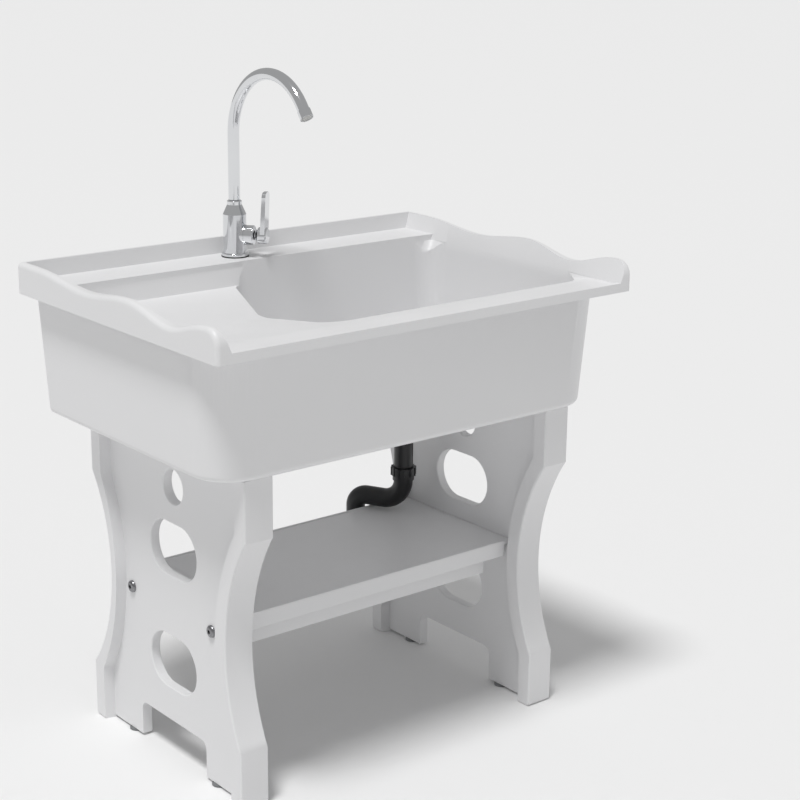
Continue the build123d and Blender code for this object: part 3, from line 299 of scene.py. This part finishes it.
# The object's mesh after its modifiers, as a plain mesh on a new object.
# Without an angle to be sharp from, it keeps the normals that its modifiers gave it.
def asPlainMesh(worked, name, material, sharpFrom):
    bpy.context.view_layer.update()
    result = worked.evaluated_get(bpy.context.evaluated_depsgraph_get())
    mesh = bpy.data.meshes.new_from_object(result)
    mesh.name = name
    mesh.materials.clear()
    mesh.materials.append(finishes[material])
    if not mesh.polygons:
        raise ValueError(name + " came out empty")
    for face in mesh.polygons:
        face.material_index = 0
        face.use_smooth = True
    if sharpFrom is not None:
        mesh.set_sharp_from_angle(angle=radians(sharpFrom))
    piece = bpy.data.objects.new(name, mesh)
    scene.collection.objects.link(piece)
    bpy.data.objects.remove(worked)
    return piece


def dressNode(piece, body, slot, *replaced):
    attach(piece, body)
    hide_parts(*replaced)


# A closed copy of a CAD node, whose loose triangles are joined first.
def closedCopy(node, weld):
    mesh = nodes[node].data.copy()
    if "custom_normal" in mesh.attributes:  # these no longer fit once the triangles are joined
        mesh.attributes.remove(mesh.attributes["custom_normal"])
    shape = bmesh.new()
    shape.from_mesh(mesh)
    bmesh.ops.remove_doubles(shape, verts=shape.verts, dist=weld)
    for face in shape.faces:
        face.smooth = True
    for edge in shape.edges:
        edge.smooth = True
    shape.to_mesh(mesh)
    shape.free()
    copy = bpy.data.objects.new(node + "Copy", mesh)
    scene.collection.objects.link(copy)
    return copy


# The white mouldings have no sharp edge, so each gets a skin whose edges are really rounded.
# The basin is one moulding: its two CAD nodes become one skin with no seam at the rim.
softSkins = {
    "mouldedBasin": {"from": ("basin", "basin_rim"), "edge": 0.0016},
    "mouldedShelf": {"from": ("shelf",), "edge": 0.0014},
    "frontCrossbar": {"from": ("front_crossbar",), "edge": 0.0010},
    "backCrossbar": {"from": ("back_crossbar",), "edge": 0.0010},
    "leftLeg": {"from": ("left_leg",), "edge": 0.0012},
    "rightLeg": {"from": ("right_leg",), "edge": 0.0012},
}
skinWork = {
    "weld": 0.00002,  # metres
    "roundOver": 32.0,  # degrees; sharper edges than this are rounded
    "steps": 2,
    "evenWeight": 50,
}


def makeSoftSkin(name, skin):
    copies = [closedCopy(node, skinWork["weld"]) for node in skin["from"]]
    for other in copies[1:]:
        joined = copies[0].modifiers.new("joined", "BOOLEAN")
        joined.operation = "UNION"
        joined.solver = "EXACT"
        joined.object = other
    rounded = copies[0].modifiers.new("rounded", "BEVEL")
    rounded.width = skin["edge"]
    rounded.segments = skinWork["steps"]
    rounded.limit_method = "ANGLE"
    rounded.angle_limit = radians(skinWork["roundOver"])
    evened = copies[0].modifiers.new("evened", "WEIGHTED_NORMAL")  # wide faces shade flat
    evened.mode = "FACE_AREA"
    evened.weight = skinWork["evenWeight"]
    piece = asPlainMesh(copies[0], name, "whiteResin", None)
    for other in copies[1:]:
        bpy.data.objects.remove(other)
    dressNode(piece, "sink", "white_moulding", *skin["from"])
    print(name, "ready,", len(piece.data.polygons), "faces")


for skinName, skin in softSkins.items():
    makeSoftSkin(skinName, skin)


# A tree's input is set by its socket's identifier, found by name.
def setInputs(modifier, values):
    sockets = {item.name: item.identifier for item in modifier.node_group.interface.items_tree
               if item.item_type == "SOCKET" and item.in_out == "INPUT"}
    for name, value in values.items():
        modifier[sockets[name]] = value


def startShapeTree(name, inputs):
    outputs = {"Geometry": "NodeSocketGeometry"}
    tree, start, end = startGroup(name, "GeometryNodeTree", inputs, outputs)
    tree.interface.new_socket("Finish", in_out="INPUT", socket_type="NodeSocketMaterial")
    return tree, start, end


def endShapeTree(tree, start, end, geometry):
    smooth = addNode(tree, "GeometryNodeSetShadeSmooth", (900, 0))
    real = addNode(tree, "GeometryNodeRealizeInstances", (1100, 0))
    painted = addNode(tree, "GeometryNodeSetMaterial", (1300, 0))
    end.location = (1500, 0)
    plug(tree, geometry, smooth.inputs["Geometry"])
    plug(tree, smooth.outputs["Geometry"], real.inputs["Geometry"])
    plug(tree, real.outputs["Geometry"], painted.inputs["Geometry"])
    plug(tree, start.outputs["Finish"], painted.inputs["Material"])
    plug(tree, painted.outputs["Geometry"], end.inputs["Geometry"])


# One step of arithmetic on two terms, each a number or another node's socket.
def workOut(tree, operation, first, second, place=(0, 0)):
    node = addNode(tree, "ShaderNodeMath", place, operation=operation)
    for socket, value in zip(node.inputs, (first, second)):
        if isinstance(value, (int, float)):
            socket.default_value = value
        elif value is not None:
            plug(tree, value, socket)
    return node.outputs["Value"]


# The spout: a riser, a bend of one radius and a short straight end, by the length run so far.
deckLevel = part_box("deck_gasket")[0].z
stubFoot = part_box("spout")[0].z
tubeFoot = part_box("spout_collar")[1].z
riserTop = 0.2049  # above the deck, a hair under the solid's so the crest stays in its box
spoutShape = {
    "Stub Length": tubeFoot - stubFoot,
    "Riser Length": deckLevel + riserTop - stubFoot,  # from the stub's foot to the bend
    "Bend Radius": 0.107,
    "Turn": radians(143),
    "End Length": 0.013,
    "Tube Radius": 0.00975,
    "Stub Radius": 0.0085,
    "Steps": 260.0,
    "Sides": 56.0,
}


def makeGooseneckTree():
    tree, start, end = startShapeTree("gooseneckTube", {name: 0.0 for name in spoutShape})
    given = start.outputs
    bendLength = workOut(tree, "MULTIPLY", given["Bend Radius"], given["Turn"], (-600, 500))
    toEnd = workOut(tree, "ADD", given["Riser Length"], bendLength, (-400, 500))
    whole = workOut(tree, "ADD", toEnd, given["End Length"], (-200, 500))
    line = addNode(tree, "GeometryNodeCurvePrimitiveLine", (-400, -200))
    line.inputs["End"].default_value = (0, 0, 1)
    points = addNode(tree, "GeometryNodeResampleCurve", (-200, -200))
    plug(tree, line.outputs["Curve"], points.inputs["Curve"])
    plug(tree, given["Steps"], points.inputs["Count"])
    along = addNode(tree, "GeometryNodeSplineParameter", (-600, 200))
    run = workOut(tree, "MULTIPLY", along.outputs["Factor"], whole, (-400, 200))
    rise = workOut(tree, "MINIMUM", run, given["Riser Length"], (-200, 250))
    beyond = workOut(tree, "SUBTRACT", run, given["Riser Length"])
    pastRiser = workOut(tree, "MAXIMUM", beyond, 0.0, (0, 250))
    turned = workOut(tree, "DIVIDE", pastRiser, given["Bend Radius"])
    angle = workOut(tree, "MINIMUM", turned, given["Turn"], (200, 250))
    straight = workOut(tree, "MAXIMUM", workOut(tree, "SUBTRACT", run, toEnd), 0.0, (200, 400))
    sine = workOut(tree, "SINE", angle, None, (400, 250))
    cosine = workOut(tree, "COSINE", angle, None, (400, 400))
    out = workOut(tree, "SUBTRACT", 1.0, cosine)
    out = workOut(tree, "MULTIPLY", out, given["Bend Radius"], (600, 250))
    out = workOut(tree, "ADD", out, workOut(tree, "MULTIPLY", straight, sine), (600, 100))
    up = workOut(tree, "MULTIPLY", sine, given["Bend Radius"])
    up = workOut(tree, "ADD", rise, up, (600, 400))
    up = workOut(tree, "ADD", up, workOut(tree, "MULTIPLY", straight, cosine), (600, 550))
    place = addNode(tree, "ShaderNodeCombineXYZ", (700, 300))
    plug(tree, workOut(tree, "MULTIPLY", out, -1.0), place.inputs["Y"])
    plug(tree, up, place.inputs["Z"])
    bent = addNode(tree, "GeometryNodeSetPosition", (0, -200))
    plug(tree, points.outputs["Curve"], bent.inputs["Geometry"])
    plug(tree, place.outputs["Vector"], bent.inputs["Position"])
    onStub = workOut(tree, "LESS_THAN", run, given["Stub Length"], (0, 0))
    thinner = workOut(tree, "SUBTRACT", given["Stub Radius"], given["Tube Radius"], (0, 50))
    change = workOut(tree, "MULTIPLY", onStub, thinner)
    radius = workOut(tree, "ADD", given["Tube Radius"], change, (200, 0))
    ring = addNode(tree, "GeometryNodeCurvePrimitiveCircle", (200, -400))
    ring.inputs["Radius"].default_value = 1
    plug(tree, given["Sides"], ring.inputs["Resolution"])
    tube = addNode(tree, "GeometryNodeCurveToMesh", (500, -200))
    tube.inputs["Fill Caps"].default_value = True
    plug(tree, bent.outputs["Geometry"], tube.inputs["Curve"])
    plug(tree, radius, tube.inputs["Scale"])
    plug(tree, ring.outputs["Curve"], tube.inputs["Profile Curve"])
    endShapeTree(tree, start, end, tube.outputs["Mesh"])
    return tree


creaseFrom = {"spout": 35.0, "bolts": 40.0}  # degrees


def runTree(tree, values, name, material, sharpFrom, seedMesh=None):
    worker = bpy.data.objects.new(name + "Work", seedMesh or bpy.data.meshes.new(name + "Work"))
    scene.collection.objects.link(worker)
    modifier = worker.modifiers.new(name, "NODES")
    modifier.node_group = tree
    setInputs(modifier, {**values, "Finish": finishes[material]})
    return asPlainMesh(worker, name, material, sharpFrom)


spout = runTree(makeGooseneckTree(), spoutShape, "gooseneckSpout", "chromePlate",
                creaseFrom["spout"])
swivelPlace = next(joint["pos_m"] for joint in frame["joints"] if joint["name"] == "spout_swivel")
spout.data.transform(Matrix.Translation((swivelPlace[0], swivelPlace[1], stubFoot)))
dressNode(spout, "swivel_spout", "chrome", "spout")
print("spout ready,", len(spout.data.polygons), "faces")


# One domed bolt with a six-sided socket, its head towards +X, repeated by a tree at four places.
boltLow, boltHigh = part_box("leg_bolts")
boltShape = {
    "headRadius": 0.010,
    "headHeight": 0.0055,
    "washerHeight": 0.0012,
    "domeSteps": 5,
    "shankRadius": 0.004,
    "shankLength": 0.045,
    "socketFlats": 0.006,
    "socketDepth": 0.0032,
    "domeTurn": 80.0,  # degrees of the dome's arc
    "domeFoot": 1.35,  # the arc's inner end, in socket radii
    "flatFoot": 1.25,  # the flat ring round the socket, in socket radii
    "sides": 24,
}
boltPlaces = {
    "Leg Spacing": boltHigh.x - boltLow.x - 2 * boltShape["headHeight"],
    "Bolt Spacing": boltHigh.y - boltLow.y - 2 * boltShape["headRadius"],
}


def makeBoltMesh(shape):
    def ring(x, radius, sixSided=False):
        points = []
        for step in range(shape["sides"]):
            angle = 2 * pi * step / shape["sides"]
            reach = radius
            if sixSided:
                reach = radius / cos((angle + pi / 6) % (pi / 3) - pi / 6)
            points.append((x, reach * cos(angle), reach * sin(angle)))
        return points

    head, socket = shape["headHeight"], shape["socketFlats"] / 2
    dome = head - shape["washerHeight"]
    inner = socket * shape["domeFoot"]
    rings = [ring(-shape["shankLength"], shape["shankRadius"]), ring(0, shape["shankRadius"]),
             ring(0, shape["headRadius"]), ring(shape["washerHeight"], shape["headRadius"])]
    for step in range(1, shape["domeSteps"] + 1):
        angle = radians(shape["domeTurn"]) * step / shape["domeSteps"]
        rings.append(ring(shape["washerHeight"] + dome * sin(angle),
                          inner + (shape["headRadius"] - inner) * cos(angle)))
    rings += [ring(head, socket * shape["flatFoot"]), ring(head, socket, True),
              ring(head - shape["socketDepth"], socket, True)]
    shaped = bmesh.new()
    loops = [[shaped.verts.new(point) for point in points] for points in rings]
    for low, high in zip(loops, loops[1:]):
        for step in range(shape["sides"]):
            after = (step + 1) % shape["sides"]
            shaped.faces.new((low[step], low[after], high[after], high[step]))
    shaped.faces.new(loops[0])
    shaped.faces.new(loops[-1])
    bmesh.ops.recalc_face_normals(shaped, faces=shaped.faces)
    mesh = bpy.data.meshes.new("legBolt")
    shaped.to_mesh(mesh)
    shaped.free()
    return mesh


def makeBoltTree():
    tree, start, end = startShapeTree("boltSet", {name: 0.0 for name in boltPlaces})
    corners = addNode(tree, "GeometryNodeMeshGrid", (-400, 200))
    corners.inputs["Vertices X"].default_value = 2
    corners.inputs["Vertices Y"].default_value = 2
    plug(tree, start.outputs["Leg Spacing"], corners.inputs["Size X"])
    plug(tree, start.outputs["Bolt Spacing"], corners.inputs["Size Y"])
    place = addNode(tree, "GeometryNodeInputPosition", (-400, -200))
    split = addNode(tree, "ShaderNodeSeparateXYZ", (-200, -200))
    plug(tree, place.outputs["Position"], split.inputs["Vector"])
    onLeft = workOut(tree, "LESS_THAN", split.outputs["X"], 0.0, (0, -200))
    turn = addNode(tree, "ShaderNodeCombineXYZ", (350, -200))
    plug(tree, workOut(tree, "MULTIPLY", onLeft, pi, (200, -200)), turn.inputs["Z"])
    placed = addNode(tree, "GeometryNodeInstanceOnPoints", (600, 0))
    plug(tree, corners.outputs["Mesh"], placed.inputs["Points"])
    plug(tree, start.outputs["Geometry"], placed.inputs["Instance"])
    plug(tree, turn.outputs["Vector"], placed.inputs["Rotation"])
    endShapeTree(tree, start, end, placed.outputs["Instances"])
    return tree


bolts = runTree(makeBoltTree(), boltPlaces, "domedLegBolts", "brushedSteel",
                creaseFrom["bolts"], makeBoltMesh(boltShape))
bolts.data.transform(Matrix.Translation((boltLow + boltHigh) / 2))
dressNode(bolts, "sink", "steel", "leg_bolts")
print("bolts ready,", len(bolts.data.polygons), "faces")


studio = {
    "floorSize": 90.0,
    "floorColor": (0.85, 0.85, 0.85),
    "floorRoughness": 0.9,
    "skyStrength": 0.40,
    "suns": {
        "keySun": {"towards": (-0.30, -0.12, 0.90), "power": 2.0, "spread": 13.0},
    },
}


def makeStudio(studio):
    half = studio["floorSize"] / 2
    mesh = bpy.data.meshes.new("studioFloor")
    corners = [(-half, -half, 0), (half, -half, 0), (half, half, 0), (-half, half, 0)]
    mesh.from_pydata(corners, [], [(0, 1, 2, 3)])
    floor = bpy.data.objects.new("studioFloor", mesh)
    paint = bpy.data.materials.new("floorPaint")
    paint.use_nodes = True
    shader = paint.node_tree.nodes["Principled BSDF"]
    shader.inputs["Base Color"].default_value = (*studio["floorColor"], 1)
    shader.inputs["Roughness"].default_value = studio["floorRoughness"]
    mesh.materials.append(paint)
    scene.collection.objects.link(floor)
    scene.world = bpy.data.worlds.new("studioSky")
    scene.world.use_nodes = True
    sky = scene.world.node_tree.nodes["Background"]
    sky.inputs["Color"].default_value = (1, 1, 1, 1)
    sky.inputs["Strength"].default_value = studio["skyStrength"]
    for name, values in studio["suns"].items():
        lamp = bpy.data.lights.new(name, "SUN")
        lamp.energy = values["power"]
        lamp.angle = radians(values["spread"])
        light = bpy.data.objects.new(name, lamp)
        light.matrix_world = Vector(values["towards"]).to_track_quat("Z", "Y").to_matrix().to_4x4()
        scene.collection.objects.link(light)


makeStudio(studio)
scene.view_settings.view_transform = "Standard"
print("studio ready")
